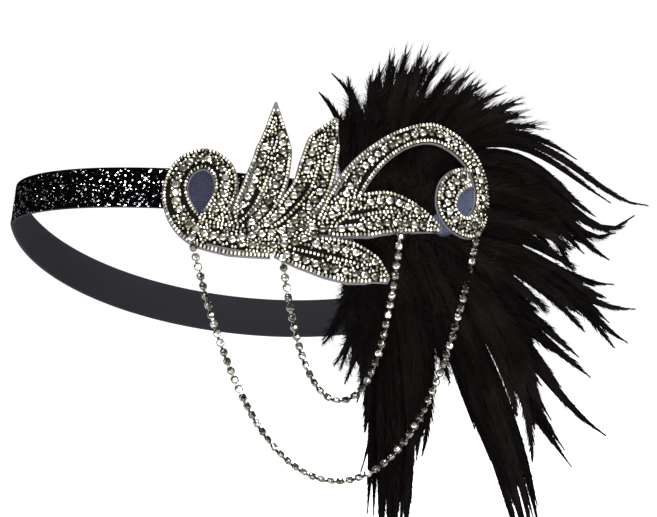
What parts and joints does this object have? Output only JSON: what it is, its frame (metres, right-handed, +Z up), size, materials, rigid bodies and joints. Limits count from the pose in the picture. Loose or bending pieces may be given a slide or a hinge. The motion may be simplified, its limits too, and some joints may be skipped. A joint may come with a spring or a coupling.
{
  "type": "flapper feather headband",
  "caption": "Glitter elastic headband with a beaded rhinestone scroll-and-leaf applique, two hanging cup chains and a black feather plume.",
  "frame": {"origin": "middle of the head loop where it is widest, on the band's centre line, which is the middle of the wearer's head at the band", "axes": "+Z up as worn, -Y out of the front of the head, +X to the wearer's left, where the plume is"},
  "size_m": [0.2882, 0.1504, 0.2173],
  "materials": {
    "glitter_elastic": "black elastic with silver glitter outside, smooth inside",
    "backing_cloth": "silver grey organza and felt",
    "beadwork": "silver lined seed beads and foiled smoky rhinestones",
    "cup_chain": "silver plated cups with clear rhinestones",
    "dyed_feather": "black dyed hackle feathers"
  },
  "bodies": {
    "root": {"head_band": "glitter_elastic", "applique_backing": "backing_cloth", "left_scroll": "beadwork", "tall_leaf": "beadwork", "second_leaf": "beadwork", "arc_scroll": "beadwork", "right_leaf": "beadwork", "lower_leaf": "beadwork", "centre_cluster": "beadwork", "outer_chain": "cup_chain", "inner_chain": "cup_chain", "feather_plume": "dyed_feather"}
  },
  "joints": []
}
